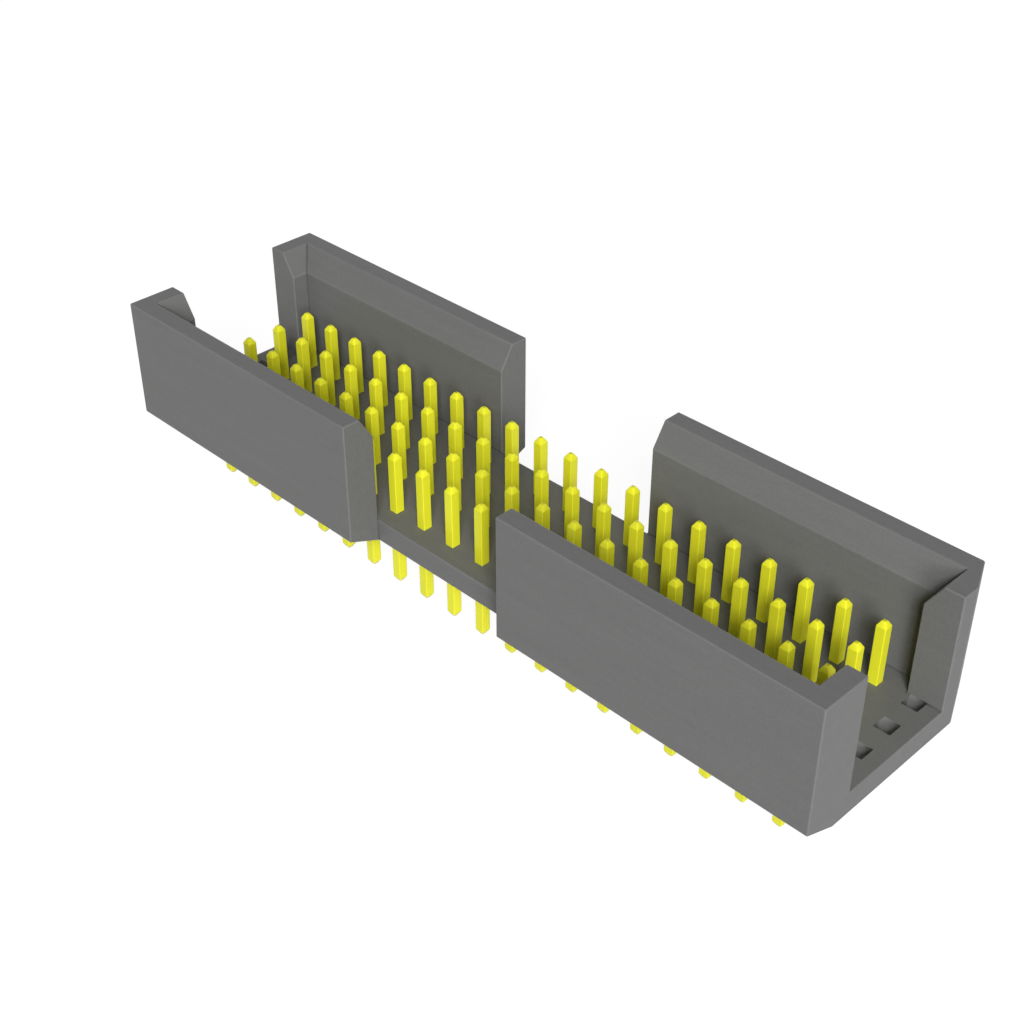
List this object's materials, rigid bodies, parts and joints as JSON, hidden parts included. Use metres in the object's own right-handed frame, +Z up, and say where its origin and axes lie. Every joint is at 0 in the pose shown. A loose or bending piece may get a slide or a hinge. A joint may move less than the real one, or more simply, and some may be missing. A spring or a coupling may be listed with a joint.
{
  "type": "pin header",
  "caption": "Shrouded board-mount pin header: long housing with a gap in each side wall, open ends and one cut corner, round a grid of square contact pins with solder tails.",
  "frame": {"origin": "centre of the housing's underside, the plane that sits on the circuit board", "axes": "+X along the rows of contacts towards the end with the cut corner, +Y across the rows towards the long wall with the cut corner, +Z up out of the board towards the mating plug"},
  "size_m": [0.0564, 0.0154, 0.0133],
  "materials": {
    "housing": "mid grey glass-filled moulded plastic, fine matte texture",
    "contacts": "square brass wire with a bright yellow gold plating"
  },
  "bodies": {
    "root": {"housing": "housing", "pins_column_01": "contacts", "pins_column_02": "contacts", "pins_column_03": "contacts", "pins_column_04": "contacts", "pins_column_05": "contacts", "pins_column_06": "contacts", "pins_column_07": "contacts", "pins_column_08": "contacts", "pins_column_09": "contacts", "pins_column_10": "contacts", "pins_column_11": "contacts", "pins_column_12": "contacts", "pins_column_13": "contacts", "pins_column_14": "contacts", "pins_column_15": "contacts", "pins_column_16": "contacts", "pins_column_17": "contacts", "pins_column_18": "contacts", "pins_column_19": "contacts", "pins_column_20": "contacts"}
  },
  "joints": []
}
